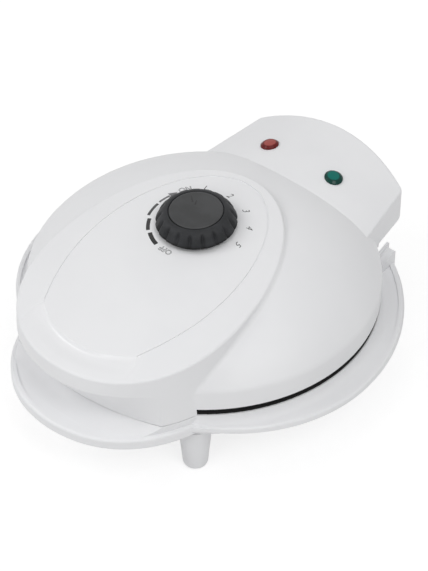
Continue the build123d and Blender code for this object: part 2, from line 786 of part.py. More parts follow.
# Base housing
with BuildPart() as base_housing:
    # Collar and tray rim
    with BuildSketch(Plane.XY.offset(collar_bottom_z)):
        add(base_plan(0))
    extrude(amount=collar_thickness)
    with BuildSketch(Plane.XY.offset(tray_bottom_z)):
        add(egg_sketch(tray_half_width, 0, tray_front_y))
    extrude(amount=collar_top_z - tray_bottom_z)
    fillet(edges().group_by(Axis.Z)[-1], collar_edge_round)
    fillet(edges().group_by(Axis.Z)[0], collar_edge_round)
    with BuildSketch(Plane.XY.offset(collar_top_z)):
        add(base_plan(dish_inset))
    extrude(amount=-dish_depth, mode=Mode.SUBTRACT)
    with BuildSketch(Plane.XY.offset(tray_bottom_z)):
        add(egg_sketch(tray_half_width - wall, 0, tray_front_y + wall))
    extrude(amount=shelf_z - wall - tray_bottom_z, mode=Mode.SUBTRACT)
    # Drum, pan and ring
    with BuildSketch(Plane.XZ):
        with BuildLine():
            Polyline(
                (lid_radius, shelf_z + cove_radius),
                (lid_radius, base_rim_z),
                (0, base_rim_z),
                (0, pan_bottom_z),
                (pan_radius, pan_bottom_z),
                (pan_shoulder_radius, drum_bottom_z),
                (drum_radius, drum_bottom_z),
                (drum_radius, shelf_z - wall),
                (lid_radius + cove_radius, shelf_z - wall),
                (lid_radius + cove_radius, shelf_z),
            )
            RadiusArc(
                (lid_radius + cove_radius, shelf_z),
                (lid_radius, shelf_z + cove_radius),
                cove_radius,
            )
        make_face()
        fillet(vertices().sort_by_distance((drum_radius, drum_bottom_z))[0], drum_edge_round)
    revolve(axis=Axis.Z)
    # Plateau under the handle
    with BuildSketch(Plane.XY.offset(shelf_z - wall)):
        add(plateau_sketch())
    extrude(amount=plateau_z - shelf_z + wall)
    add(tray_slope.part)
    # Knuckle
    with BuildSketch(Plane.YZ.offset(-knuckle_half_width)):
        with BuildLine():
            Polyline(
                (hinge_y + knuckle_radius, hinge_z),
                (knuckle_foot_y, knuckle_waist_z),
                (knuckle_foot_y, knuckle_foot_z),
                (knuckle_root_y, knuckle_foot_z),
                (knuckle_root_y, base_rim_z),
                (neck_front_y, base_rim_z),
                (neck_front_y, hinge_z),
                (hinge_y + knuckle_radius, hinge_z),
            )
        make_face()
        with Locations((hinge_y, hinge_z)):
            Circle(knuckle_radius)
    extrude(amount=2 * knuckle_half_width)
    # Feet
    with GridLocations(2 * foot_x, 2 * foot_y, 2, 2):
        add(foot.part)
    # Room inside
    with BuildSketch(Plane.XZ):
        with BuildLine():
            Polyline(
                (0, base_rim_z),
                (0, pan_bottom_z + wall),
                (pan_radius - wall / 2, pan_bottom_z + wall),
                (pan_shoulder_radius - wall / 2, drum_bottom_z + wall),
                (drum_radius - wall, drum_bottom_z + wall),
                (drum_radius - wall, collar_bottom_z),
                (ring_inner_radius, collar_bottom_z),
                (ring_inner_radius, base_rim_z),
                (0, base_rim_z),
            )
        make_face()
    revolve(axis=Axis.Z, mode=Mode.SUBTRACT)
    # Screw bosses
    boss_top_z = lip_bottom_z - face_gap
    for angle in screw_angles:
        with BuildSketch(Plane.XY.offset(drum_bottom_z + wall / 2).rotated((0, 0, angle))):
            with Locations((screw_circle_radius, 0)):
                Circle(boss_radius)
        extrude(amount=boss_top_z - drum_bottom_z - wall / 2)
        with BuildSketch(Plane.XY.offset(boss_top_z).rotated((0, 0, angle))):
            with Locations((screw_circle_radius, 0)):
                Circle(screw_radius + press_gap)
        extrude(amount=plate_face_z - screw_length - face_gap - boss_top_z, mode=Mode.SUBTRACT)
    # Ears beside the hinge, and the ribs along the sides of the lid's rear block
    for side in (-1, 1):
        with BuildSketch(Plane.YZ.offset(side * ear_inner_x)):
            with BuildLine():
                Polyline(
                    (ear_ramp_y, shelf_z),
                    (ear_crest_y, ear_top_z),
                    (ear_rear_y, ear_top_z),
                    (ear_rear_y, collar_bottom_z),
                    (ear_ramp_y, collar_bottom_z),
                    (ear_ramp_y, shelf_z),
                )
            make_face()
            fillet(vertices().group_by(Axis.Y)[-1], ear_round)
        extrude(amount=side * (ear_outer_x - ear_inner_x))
    with BuildSketch(Plane.XY.offset(collar_bottom_z)):
        with BuildLine():
            Polyline(
                (block_side_x(rib_front_y) + rib_gap, rib_front_y),
                (block_side_x(rib_front_y) + rib_gap + rib_thickness, rib_front_y),
                (block_side_x(rib_rear_y) + rib_gap + rib_thickness, rib_rear_y),
                (block_side_x(rib_rear_y) + rib_gap, rib_rear_y),
                (block_side_x(rib_front_y) + rib_gap, rib_front_y),
            )
        make_face()
        mirror(about=Plane.YZ)
    extrude(amount=rib_top_z - collar_bottom_z)
    # Pin holes and inlet hole
    for side in (-1, 1):
        with BuildSketch(Plane.YZ.offset(side * knuckle_half_width)):
            with Locations((hinge_y, hinge_z)):
                Circle(pin_radius + press_gap)
        extrude(amount=-side * (pin_depth_in_knuckle + face_gap), mode=Mode.SUBTRACT)
    with BuildSketch(inlet_plane):
        Circle(inlet_bush_radius + press_gap)
    extrude(amount=knuckle_root_y - knuckle_foot_y - wall, mode=Mode.SUBTRACT)
base_housing.part.label = "base_housing"
export_step(base_housing.part, "parts/base_housing.step")

# Soft pads pressed into the feet
with BuildPart() as foot_pads:
    with BuildSketch():
        with GridLocations(2 * foot_x, 2 * foot_y, 2, 2):
            Circle(pad_radius)
    extrude(amount=pad_height)
    fillet(edges().group_by(Axis.Z)[0], pad_round)
foot_pads.part.label = "foot_pads"
export_step(foot_pads.part, "parts/foot_pads.step")


def crown_height(y):
    """Level of the panel's crown on its centre line."""
    fall = crown_long_radius - sqrt(crown_long_radius**2 - (y - crown_top_y) ** 2)
    return crown_top_z - fall


def panel_form(inset, bottom_z):
    """Raised panel with its handle: drafted egg under the crown, scooped below the grip."""
    with BuildPart() as panel:
        for level in (bottom_z, crown_top_z):
            with BuildSketch(Plane.XY.offset(level)):
                add(panel_outline(level, inset))
        loft(ruled=True)
        add(crown_form(inset), mode=Mode.INTERSECT)
        if inset == 0:
            fillet(faces().sort_by(Axis.Z)[-1].edges(), panel_edge_round)
        add(scoop_form(inset), mode=Mode.SUBTRACT)
    return panel.part


def groove_outline(inset):
    """Area inside the groove: egg that narrows to the two ends of the groove."""
    half_width = groove_half_width - inset
    rear_y = groove_rear_y - inset
    end_x = groove_end_x - inset
    with BuildSketch() as outline:
        with BuildLine():
            Bezier(
                (0, rear_y),
                (panel_rear_fullness * half_width, rear_y),
                (half_width, groove_wide_y + panel_rear_fullness * (rear_y - groove_wide_y)),
                (half_width, groove_wide_y),
            )
            Bezier(
                (half_width, groove_wide_y),
                (half_width, (2 * groove_wide_y + groove_end_y) / 3),
                ((2 * half_width + end_x) / 3, (groove_wide_y + 2 * groove_end_y) / 3),
                (end_x, groove_end_y),
            )
            Line((end_x, groove_end_y), (0, groove_end_y))
            mirror(about=Plane.YZ)
        make_face()
    return outline.sketch


# Fine groove that follows the panel's edge and is open at the front
with BuildPart() as groove:
    with BuildSketch(Plane.XY.offset(dome_centre_z)):
        add(groove_outline(0))
        add(groove_outline(groove_width), mode=Mode.SUBTRACT)
    extrude(amount=crown_top_z)
    add(crown_form(groove_depth), mode=Mode.SUBTRACT)

# Thumb rest: crescent hollow in front, steep at its rear edge and shallow towards the rim
thumb_tilt = asin((thumb_rest_y - crown_top_y) / crown_long_radius)
thumb_plane = Plane(
    origin=(0, thumb_rest_y, crown_height(thumb_rest_y)),
    x_dir=(0, -cos(thumb_tilt), sin(thumb_tilt)),
    z_dir=(1, 0, 0),
)
thumb_axis = Axis(thumb_plane.from_local_coords((-thumb_rest_arc_radius, 0, 0)), thumb_plane.y_dir)
with BuildPart() as thumb_rest:
    with BuildSketch(thumb_plane):
        with BuildLine():
            Polyline(
                (-thumb_rest_step, thumb_rest_depth),
                (thumb_rest_step, -thumb_rest_depth),
                (thumb_rest_reach, 0),
                (thumb_rest_reach, thumb_rest_depth),
                (-thumb_rest_step, thumb_rest_depth),
            )
        make_face()
        fillet(
            vertices().sort_by_distance((thumb_rest_step, -thumb_rest_depth))[0], thumb_rest_round
        )
    revolve(axis=thumb_axis)

# Seat of the knob and of the two lenses on the lid
section_plane = Plane(
    origin=knob_plane.origin, x_dir=knob_plane.x_dir, z_dir=-knob_plane.y_dir
)
knob_axis = Axis(knob_plane.origin, knob_plane.z_dir)
boss_bottom = thermostat_top + bracket_thickness + face_gap
lens_tilt = asin(lamp_x / block_crown_radius)
lens_z = block_crown_z - block_crown_radius * (1 - cos(lens_tilt))


def lens_plane(side):
    """Plane that touches the roof of the rear block at one lens."""
    return Plane(
        origin=(side * lamp_x, lamp_y, lens_z),
        x_dir=(0, 1, 0),
        z_dir=(side * sin(lens_tilt), 0, cos(lens_tilt)),
    )


# Posts inside the lid: bosses of the upper plate screws and of the thermostat bracket
upper_boss_z = 2 * parting_z - lip_bottom_z + face_gap
with BuildPart() as lid_posts:
    for angle in screw_angles:
        with BuildSketch(Plane.XY.offset(upper_boss_z).rotated((0, 0, angle))):
            with Locations((screw_circle_radius, 0)):
                Circle(boss_radius)
        extrude(amount=crown_top_z)
    with BuildSketch(knob_plane.offset(boss_bottom)):
        with GridLocations(bracket_boss_spacing, 1, 2, 1):
            Circle(bracket_boss_radius)
    extrude(amount=knob_height)

# Room inside the lid
cavity_floor_z = hinge_z + tunnel_radius + tunnel_wall
with BuildPart() as block_cavity:
    with BuildSketch(Plane.XY.offset(cavity_floor_z)):
        with BuildLine():
            Polyline(
                (0, block_front_y),
                (block_front_half_width - wall, block_front_y),
                (block_front_half_width - wall, block_front_edge_y),
                (block_rear_half_width - wall, block_corner_y - wall),
            )
            Line((0, block_front_y), (0, block_rear_y - wall))
            arc_end = (block_rear_half_width - wall, block_corner_y - wall)
            TangentArc((0, block_rear_y - wall), arc_end, tangent=(1, 0))
        make_face()
        mirror(about=Plane.YZ)
    extrude(amount=block_crown_z)
    with BuildSketch(Plane.XZ.offset(-block_front_y)):
        with Locations((0, block_crown_z - block_crown_radius)):
            Circle(block_crown_radius - wall)
    extrude(amount=block_front_y - 2 * block_rear_y, mode=Mode.INTERSECT)

with BuildPart() as lid_cavity:
    add(dome_form(wall, lid_rim_z - wall))
    add(crown_form(2 * wall), mode=Mode.INTERSECT)
    add(panel_form(wall, handle_floor_z))
    add(block_cavity.part)
    add(tunnel_form(tunnel_wall), mode=Mode.SUBTRACT)
    add(lid_posts.part, mode=Mode.SUBTRACT)

# Lid housing
with BuildPart() as lid_housing:
    add(dome_form(0, lid_rim_z))
    add(crown_form(wall / 2), mode=Mode.INTERSECT)
    add(block_form())
    add(panel_form(0, handle_seam_z))
    # The long curves on both sides where the panel's wall rises from the dome
    foot_edges = edges().filter_by(GeomType.BSPLINE).filter_by(
        lambda edge: edge.length > foot_edge_length
        and edge.bounding_box().min.Z > lid_rim_z + wall
        and edge.bounding_box().max.Z < dome_centre_z + dome_height
        and edge.bounding_box().size.Z > foot_edge_rise
        and edge.bounding_box().size.X < foot_edge_width
    )
    fillet(foot_edges, panel_foot_round)
    add(lid_cavity.part, mode=Mode.SUBTRACT)
    add(tunnel_form(0), mode=Mode.SUBTRACT)
    # Room for the plate flanges inside the lowered handle
    with BuildSketch(Plane.XY):
        Circle(flange_radius + side_gap)
    extrude(amount=lid_rim_z, mode=Mode.SUBTRACT)
    add(groove.part, mode=Mode.SUBTRACT)
    add(thumb_rest.part, mode=Mode.SUBTRACT)
    # Screw holes
    for angle in screw_angles:
        with BuildSketch(Plane.XY.offset(upper_boss_z).rotated((0, 0, angle))):
            with Locations((screw_circle_radius, 0)):
                Circle(screw_radius + press_gap)
        extrude(amount=screw_length - plate_depth, mode=Mode.SUBTRACT)
    with BuildSketch(knob_plane.offset(boss_bottom)):
        with GridLocations(bracket_boss_spacing, 1, 2, 1):
            Circle(bracket_screw_radius + press_gap)
    extrude(amount=bracket_screw_length - bracket_thickness, mode=Mode.SUBTRACT)
    # Shaft hole
    with BuildSketch(knob_plane.offset(boss_bottom)):
        Circle(shaft_hole_radius)
    extrude(amount=knob_height, mode=Mode.SUBTRACT)
    # Lens holes and pin holes
    for side in (-1, 1):
        with BuildSketch(lens_plane(side).offset(-2 * wall)):
            Circle(lens_stem_radius + face_gap)
        extrude(amount=4 * wall, mode=Mode.SUBTRACT)
        with BuildSketch(Plane.YZ.offset(side * knuckle_half_width)):
            with Locations((hinge_y, hinge_z)):
                Circle(pin_radius + running_gap)
        extrude(amount=side * (pin_length - pin_depth_in_knuckle + face_gap), mode=Mode.SUBTRACT)
lid_housing.part.label = "lid_housing"
export_step(lid_housing.part, "parts/lid_housing.step")

# Thermostat shaft with its flat
with BuildPart() as thermostat_shaft:
    with BuildSketch(knob_plane.offset(shaft_bottom)):
        Circle(shaft_radius)
    extrude(amount=shaft_top - shaft_bottom)
    with BuildSketch(knob_plane.offset(shaft_top)):
        with Locations((0, shaft_radius - shaft_flat)):
            Rectangle(2 * shaft_radius, shaft_radius, align=(Align.CENTER, Align.MIN))
    extrude(amount=-shaft_top, mode=Mode.SUBTRACT)
thermostat_shaft.part.label = "thermostat_shaft"
export_step(thermostat_shaft.part, "parts/thermostat_shaft.step")

# Knob: side that leans in from its widest place, soft flutes that run out below the shoulder
belly_rise = knob_height - knob_belly_height
lean = atan((knob_radius - knob_shoulder_radius) / belly_rise)
flute_lean = lean - atan(flute_depth / (flute_top - knob_belly_height))
with BuildPart() as knob:
    with BuildSketch(section_plane):
        with BuildLine():
            Polyline(
                (0, 0),
                (knob_foot_radius, 0),
                (knob_radius, knob_belly_height),
                (knob_shoulder_radius, knob_height),
                (0, knob_height),
                (0, 0),
            )
        make_face()
        fillet(vertices().sort_by_distance((knob_radius, knob_belly_height))[0], knob_belly_round)
        fillet(
            vertices().sort_by_distance((knob_shoulder_radius, knob_height))[0], knob_shoulder_round
        )
    revolve(axis=knob_axis)
    with Locations(knob_plane.offset(knob_belly_height)):
        with PolarLocations(knob_radius - flute_depth + flute_radius, flute_count):
            Cylinder(
                flute_radius,
                2 * knob_height,
                rotation=(0, -degrees(flute_lean), 0),
                mode=Mode.SUBTRACT,
            )
    with BuildSketch(knob_plane.offset(knob_height)):
        Circle(cap_radius)
    extrude(amount=-cap_recess, mode=Mode.SUBTRACT)
    with BuildSketch(section_plane):
        with BuildLine():
            Polyline(
                (hub_radius, 0),
                (knob_foot_radius - knob_wall, 0),
                (cap_radius, knob_height - cap_recess - knob_wall),
                (hub_radius, knob_height - cap_recess - knob_wall),
                (hub_radius, 0),
            )
        make_face()
    revolve(axis=knob_axis, mode=Mode.SUBTRACT)
    with BuildSketch(knob_plane):
        Circle(shaft_radius + press_gap)
        with Locations((0, shaft_radius - shaft_flat + press_gap)):
            Rectangle(
                4 * shaft_radius, shaft_radius, align=(Align.CENTER, Align.MIN), mode=Mode.SUBTRACT
            )
    extrude(amount=shaft_top + face_gap, mode=Mode.SUBTRACT)
knob.part.label = "knob"
export_step(knob.part, "parts/knob.step")

# Cap in the knob's top
with BuildPart() as knob_cap:
    with BuildSketch(knob_plane.offset(knob_height - cap_recess + face_gap)):
        Circle(cap_radius - cap_gap)
    extrude(amount=cap_recess + cap_stand_out - face_gap)
    fillet(edges().sort_by(Axis.Z)[-1], cap_stand_out)
knob_cap.part.label = "knob_cap"
export_step(knob_cap.part, "parts/knob_cap.step")

# Thermostat: body with a neck round the shaft and two blades for its leads
with BuildPart() as thermostat:
    with BuildSketch(knob_plane.offset(thermostat_top)):
        RectangleRounded(thermostat_width, thermostat_depth, thermostat_round)
    extrude(amount=-thermostat_height)
    with BuildSketch(knob_plane.offset(thermostat_top)):
        Circle(shaft_hole_radius - face_gap)
    extrude(amount=bracket_thickness)
    with BuildSketch(knob_plane.offset(thermostat_top + bracket_thickness)):
        Circle(shaft_radius + running_gap)
    extrude(amount=shaft_bottom - face_gap - thermostat_top - bracket_thickness, mode=Mode.SUBTRACT)
    with BuildSketch(knob_plane.offset(thermostat_top - thermostat_height)):
        with GridLocations(thermostat_width / 2, 1, 2, 1):
            Rectangle(sheet, blade_width)
    extrude(amount=-blade_length)
thermostat.part.label = "thermostat"
export_step(thermostat.part, "parts/thermostat.step")

with BuildPart() as thermostat_bracket:
    with BuildSketch(knob_plane.offset(thermostat_top)):
        RectangleRounded(bracket_length, bracket_width, bracket_boss_radius)
        Circle(shaft_hole_radius, mode=Mode.SUBTRACT)
        with GridLocations(bracket_boss_spacing, 1, 2, 1):
            Circle(bracket_screw_radius + face_gap, mode=Mode.SUBTRACT)
    extrude(amount=bracket_thickness)
thermostat_bracket.part.label = "thermostat_bracket"
export_step(thermostat_bracket.part, "parts/thermostat_bracket.step")

with BuildPart() as thermostat_screws:
    with BuildSketch(knob_plane.offset(thermostat_top - face_gap)):
        with GridLocations(bracket_boss_spacing, 1, 2, 1):
            Circle(bracket_head_radius)
    extrude(amount=-bracket_head_height)
    with BuildSketch(knob_plane.offset(thermostat_top - face_gap)):
        with GridLocations(bracket_boss_spacing, 1, 2, 1):
            Circle(bracket_screw_radius)
    extrude(amount=bracket_screw_length)
thermostat_screws.part.label = "thermostat_screws"
export_step(thermostat_screws.part, "parts/thermostat_screws.step")


def lens_form(side):
    """Indicator lens: bevelled rim, nearly flat top and a hollow stem through the roof."""
    plane = lens_plane(side)
    section = Plane(origin=plane.origin, x_dir=plane.x_dir, z_dir=-plane.y_dir)
    with BuildPart() as lens:
        with BuildSketch(section):
            with BuildLine():
                Polyline(
                    (0, lens_rise),
                    (0, -lens_wall),
                    (lens_bore_radius, -lens_wall),
                    (lens_bore_radius, -lens_stem_length),
                    (lens_stem_radius, -lens_stem_length),
                    (lens_stem_radius, face_gap),
                    (lens_radius, face_gap),
                    (lens_radius, lens_edge),
                    (lens_top_radius, lens_rise - lens_top_drop),
                )
                TangentArc(
                    (0, lens_rise), (lens_top_radius, lens_rise - lens_top_drop), tangent=(1, 0)
                )
            make_face()
            fillet(vertices().group_by(Axis.X)[-1].sort_by(Axis.Y)[-1], lens_round)
        revolve(axis=Axis(plane.origin, plane.z_dir))
    return lens.part


def lamp_form(side):
    """Neon lamp with a round nose, standing in the lens."""
    plane = lens_plane(side)
    with BuildPart() as lamp:
        with BuildSketch(plane.offset(-lens_wall - face_gap)):
            Circle(lamp_radius)
        extrude(amount=-lamp_length)
        fillet(edges().sort_by(Axis(plane.origin, plane.z_dir))[-1], lamp_radius / 2)
    return lamp.part


for name, side in (("red", -1), ("green", 1)):
    with BuildPart() as lens:
        add(lens_form(side))
    lens.part.label = name + "_lens"
    export_step(lens.part, "parts/" + name + "_lens.step")
    with BuildPart() as lamp:
        add(lamp_form(side))
    lamp.part.label = name + "_lamp"
    export_step(lamp.part, "parts/" + name + "_lamp.step")

# Sleeves that hold the lamps on the lens stems
sleeve_top = -wall - 3 * face_gap
with BuildPart() as lamp_sleeves:
    for side in (-1, 1):
        plane = lens_plane(side)
        with BuildSketch(plane.offset(sleeve_top)):
            Circle(lens_stem_radius + press_gap + sleeve_wall)
        extrude(amount=-sleeve_length)
        with BuildSketch(plane.offset(sleeve_top)):
            Circle(lens_stem_radius + press_gap)
        extrude(amount=sleeve_wall - sleeve_length, mode=Mode.SUBTRACT)
        with BuildSketch(plane.offset(sleeve_top)):
            Circle(lamp_radius + press_gap)
        extrude(amount=-sleeve_length, mode=Mode.SUBTRACT)
lamp_sleeves.part.label = "lamp_sleeves"
export_step(lamp_sleeves.part, "parts/lamp_sleeves.step")
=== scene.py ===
import json
from math import atan2, cos, degrees, hypot, pi, radians, sin

import bmesh
import bpy
from mathutils import Matrix, Vector
from mathutils.bvhtree import BVHTree


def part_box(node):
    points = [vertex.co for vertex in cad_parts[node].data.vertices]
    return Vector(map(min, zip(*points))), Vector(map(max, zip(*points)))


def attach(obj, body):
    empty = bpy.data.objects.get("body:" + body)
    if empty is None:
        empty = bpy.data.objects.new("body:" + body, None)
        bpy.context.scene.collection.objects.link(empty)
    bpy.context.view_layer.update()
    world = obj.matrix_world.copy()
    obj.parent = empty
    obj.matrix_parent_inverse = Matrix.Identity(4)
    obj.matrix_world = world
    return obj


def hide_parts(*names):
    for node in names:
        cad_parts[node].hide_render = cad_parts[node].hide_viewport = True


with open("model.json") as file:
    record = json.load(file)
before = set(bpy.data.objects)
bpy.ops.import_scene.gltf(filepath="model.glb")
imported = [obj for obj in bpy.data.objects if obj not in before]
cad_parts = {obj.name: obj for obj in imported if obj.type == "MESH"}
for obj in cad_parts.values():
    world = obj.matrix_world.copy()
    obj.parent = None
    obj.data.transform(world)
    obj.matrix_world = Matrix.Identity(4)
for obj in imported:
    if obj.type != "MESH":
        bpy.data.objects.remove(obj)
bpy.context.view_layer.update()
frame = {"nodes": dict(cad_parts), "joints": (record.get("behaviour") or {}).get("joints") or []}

mm = 0.001

# The photograph's view, with its width and focal length in pixels
PHOTO_WIDTH = 428
PHOTO_FOCAL = 2295.7
CAMERA_PLACE = Vector((673.0, -787.9, 990.5)) * mm
CAMERA_TARGET = Vector((5.9, 1.9, 58.3)) * mm
CAMERA_NEAR = 0.01
CAMERA_FAR = 20.0
SENSOR_WIDTH = 36.0

# Studio: lamps with their place, size and power, all aimed at the middle of the object
AMBIENT = 0.41
LAMP_TARGET = Vector((0, 0, 0.05))
LAMPS = (
    ("left_lamp", (-1.35, -1.15, 1.75), 1.1, 11.0),
    ("front_lamp", (0.2, -1.9, 1.5), 1.1, 7.0),
    ("right_lamp", (1.35, -0.5, 1.9), 1.1, 13.5),
    ("top_lamp", (0.0, 0.0, 2.4), 1.4, 6.0),
)
STUDIO_WHITE = (1, 1, 1, 1)
FLOOR_RADIUS = 9.0
FLOOR_SIDES = 180
FLOOR_BOUNCE = (0.86, 0.86, 0.86, 1)
FLOOR_SHADE = (0.36, 0.36, 0.36, 1)
# The floor's glow under the object and far from it, and the distances between which it rises
FLOOR_GLOW = (0.74, 1.0)
FLOOR_GLOW_REACH = (0.4, 1.6)

# Place and axis of the knob, from the frame
KNOB_JOINT = next(joint for joint in frame["joints"] if joint["name"] == "knob_turn")
KNOB_PLACE = Vector(KNOB_JOINT["pos_m"])
KNOB_AXIS = Vector(KNOB_JOINT["axis"]).normalized()

# Side of the knob above its seat, in mm: radius and height
KNOB_SIDE = (
    (21.2, 0.35),
    (22.3, 0.35),
    (23.4, 0.8),
    (24.2, 1.7),
    (24.4, 2.6),
    (24.2, 3.4),
    (23.8, 4.4),
    (23.3, 5.4),
    (22.8, 6.4),
    (22.2, 7.4),
    (21.5, 8.3),
    (20.7, 9.1),
    (19.7, 9.8),
    (18.6, 10.35),
    (17.6, 10.65),
    (17.0, 10.7),
    (16.75, 10.55),
    (16.7, 9.6),
)
# Flutes round that side: angles in degrees, and the heights where they start, are deepest and end
FLUTES = 18
FLUTE_STEPS = 20
FLUTE_TURN = -59.4
FLUTE_HALF_WIDTH = 5.2
FLUTE_SHARPNESS = 1.4
FLUTE_DEPTH = 2.3
FLUTE_FOOT = 1.2
FLUTE_CREST = 6.2
FLUTE_END = 9.7
# Heights between which the painted shade low on the knob fades out, in mm. It stands in for the shadow under
# the knob's belly
KNOB_PAINTED_SHADE_REACH = (1.2, 4.2)
# Side of the cap disc in the knob's ring, in the same way
CAP_SIDE = ((16.0, 9.7), (16.2, 10.1), (16.1, 10.6), (15.8, 10.85), (15.0, 10.95), (8.0, 11.1), (0.0, 11.15))
CAP_STEPS = 96
# Points this close are merged where a turned shape meets itself, in mm
SEAM_REACH = 0.0005

# Dial printed on the panel around the knob. Angles are from the right, counter-clockwise
DIAL_CENTRE = KNOB_PLACE + Vector((-0.5, 0.6, 0.0)) * mm
DIAL_RIGHT = Vector((1, 0, 0))
DIAL_REAR = KNOB_AXIS.cross(DIAL_RIGHT)
DIAL_PROBE = 20 * mm
INK_RAISED = 0.05 * mm
INK_SUNK = 0.03 * mm
NUMBER_HEIGHT = 4.3 * mm
NUMBER_PLACES = {
    "1": (122.5, 31.8 * mm),
    "2": (90.7, 30.9 * mm),
    "3": (60, 31.1 * mm),
    "4": (33, 31.7 * mm),
    "5": (5, 30.5 * mm),
}
NUMBER_LEAN = 0.35
NUMBER_THINNING = 0.012
WORD_HEIGHT = 3.7 * mm
WORD_LINE = 0.24 * mm
WORD_PLACES = {"OFF": (-91, 27.9 * mm), "ON": (143, 32.2 * mm)}
CAPITAL_SHARE = 0.72
LETTER_STEPS = 3
LETTER_SEAM_REACH = 0.001 * mm
# Bars from OFF to ON: first and last angle, inner and outer radius, ink
BARS = (
    (-129, -107, 26.9 * mm, 29.5 * mm, "ink_black"),
    (-154, -134, 27.8 * mm, 30.1 * mm, "ink_dark"),
    (-180, -159, 29.6 * mm, 31.4 * mm, "ink_grey"),
    (162, 177, 30.1 * mm, 31.5 * mm, "ink_pale"),
)
BAR_STEPS = 8
ARROW = ((162, 33.4 * mm), (161, 28.6 * mm), (152, 31.2 * mm))
# Strokes of the pointer on the knob's cap: angle and radius of the tip, then of the wide end
POINTER = (((143, 12.6 * mm), (146, 7.0 * mm)), ((127, 8.2 * mm), (136, 4.4 * mm)))
POINTER_WIDTH = 1.2 * mm
POINTER_TIP_SHARE = 0.4
INKS = {"ink_black": 0.012, "ink_dark": 0.022, "ink_grey": 0.060, "ink_pale": 0.150, "ink_fine": 0.045}

# Thumb rest in front on the panel, in mm: a dish turned about an upright that leans with the panel
THUMB_PLACE = Vector((0.0, -114.0, 91.25))
THUMB_TILT = radians(-14.64)
THUMB_AHEAD = Vector((0, -cos(THUMB_TILT), sin(THUMB_TILT)))
THUMB_UP = Vector((0, sin(THUMB_TILT), cos(THUMB_TILT)))
THUMB_RADIUS = 65.0
THUMB_CENTRE = THUMB_PLACE - THUMB_AHEAD * THUMB_RADIUS
THUMB_REACH = 14.0
THUMB_HALF_ANGLE = radians(40)
THUMB_STEPS = 96
# Rings of the dish as shares of its reach, from behind its rear edge to past its front edge
THUMB_RINGS = (-0.02, 0.0, 0.02, 0.05, 0.08, 0.11, 0.14, 0.17, 0.20, 0.25)
THUMB_RINGS += (0.32, 0.40, 0.50, 0.60, 0.70, 0.80, 0.90, 1.0, 1.02)
# The dish is deepest at the steep share of its reach, and ends at its half width
THUMB_DEPTH = 1.9
THUMB_STEEP = 0.19
THUMB_HALF_WIDTH = 37.0
# The hollow's rear edge moves in by the square of the distance across, divided by this
THUMB_LEAN = 684.0
# How far past its front and rear edges the panel is measured, and the dish tucks under it
THUMB_EDGE = 0.12
# Further out than its sides the dish sinks under the panel: by the sink at one fade beyond
THUMB_SIDE = 37.0
THUMB_FADE = 4.0
THUMB_SINK = 0.3
THUMB_WALL = 0.5
THUMB_PROBE = 20.0
# Polish along the dish's rear edge: its weight, and the radii between which it fades out
THUMB_POLISH = 0.9
THUMB_POLISH_REACH = (67.0, 71.0)

# Painted light on the flat over the lamp on each lens, in mm: the distances between which it fades, and how
# much they waver
LENS_PAINTED_LIGHT_REACH = (3.5, 4.5)
LENS_WAVER = 0.4
# Painted shade and dullness on the plates' rims, in mm: how far in from their edge they start and are full
RIM_FADE = (0.9, 0.2)
RIM_ROUGHENING = 0.35

# Colours of the finishes, mostly as the two ends of their variation
HOUSING_SHADES = ((0.815, 0.818, 0.832, 1), (0.835, 0.838, 0.850, 1))
# Share of the grain in the housing's relief. The rest is ripples
GRAIN_SHARE = 0.35
KNOB_SHADES = ((0.026, 0.027, 0.029, 1), (0.037, 0.038, 0.041, 1))
# Near black painted shade low on the knob, for the shadow under its belly
KNOB_PAINTED_SHADE = (0.003, 0.003, 0.003, 1)
CAP_SHADES = ((0.030, 0.031, 0.032, 1), (0.042, 0.043, 0.045, 1))
COATING_SHADES = ((0.018, 0.018, 0.019, 1), (0.060, 0.060, 0.062, 1))
# Near black painted shade on the plates' rims, for the shade in the slot between lid and base
PLATE_RIM_PAINTED_SHADE = (0.003, 0.003, 0.003, 1)
STEEL_SHADE = (0.58, 0.58, 0.60)
ALUMINIUM_SHADE = (0.75, 0.76, 0.77)
# How bright stained metal is beside clean metal, and dusty rubber beside clean rubber
STAIN_SHARE = 0.8
DUST_SHARE = 1.12
SHEATH_STOPS = (
    (0.30, (0.085, 0.080, 0.078, 1)),
    (0.48, (0.150, 0.115, 0.080, 1)),
    (0.60, (0.100, 0.105, 0.130, 1)),
    (0.75, (0.170, 0.165, 0.160, 1)),
)
PAD_SHADE = (0.42, 0.42, 0.41)
BUSH_SHADE = (0.62, 0.62, 0.61)
CREAM_SHADES = ((0.60, 0.56, 0.47, 1), (0.68, 0.65, 0.57, 1))
GLASS_SHADES = ((0.86, 0.84, 0.80, 1), (0.95, 0.94, 0.92, 1))
# Lenses: the bevelled rim, and the flat, paler with painted light
RED_SHADES = ((0.120, 0.006, 0.006, 1), (0.350, 0.066, 0.056, 1))
GREEN_SHADES = ((0.000, 0.040, 0.030, 1), (0.000, 0.145, 0.116, 1))
# How an ink's grey drifts in red, green and blue
INK_TINTS = ((0.80, 0.80, 0.82), (1.20, 1.20, 1.24))


class Field:
    """A value that changes over a surface. Arithmetic on it adds Math nodes."""

    def __init__(self, wiring, socket):
        self.wiring = wiring
        self.socket = socket

    def __add__(self, other):
        return self.wiring.math("ADD", self, other)

    def __radd__(self, other):
        return self.wiring.math("ADD", other, self)

    def __sub__(self, other):
        return self.wiring.math("SUBTRACT", self, other)

    def __rsub__(self, other):
        return self.wiring.math("SUBTRACT", other, self)

    def __mul__(self, other):
        return self.wiring.math("MULTIPLY", self, other)

    def __rmul__(self, other):
        return self.wiring.math("MULTIPLY", other, self)


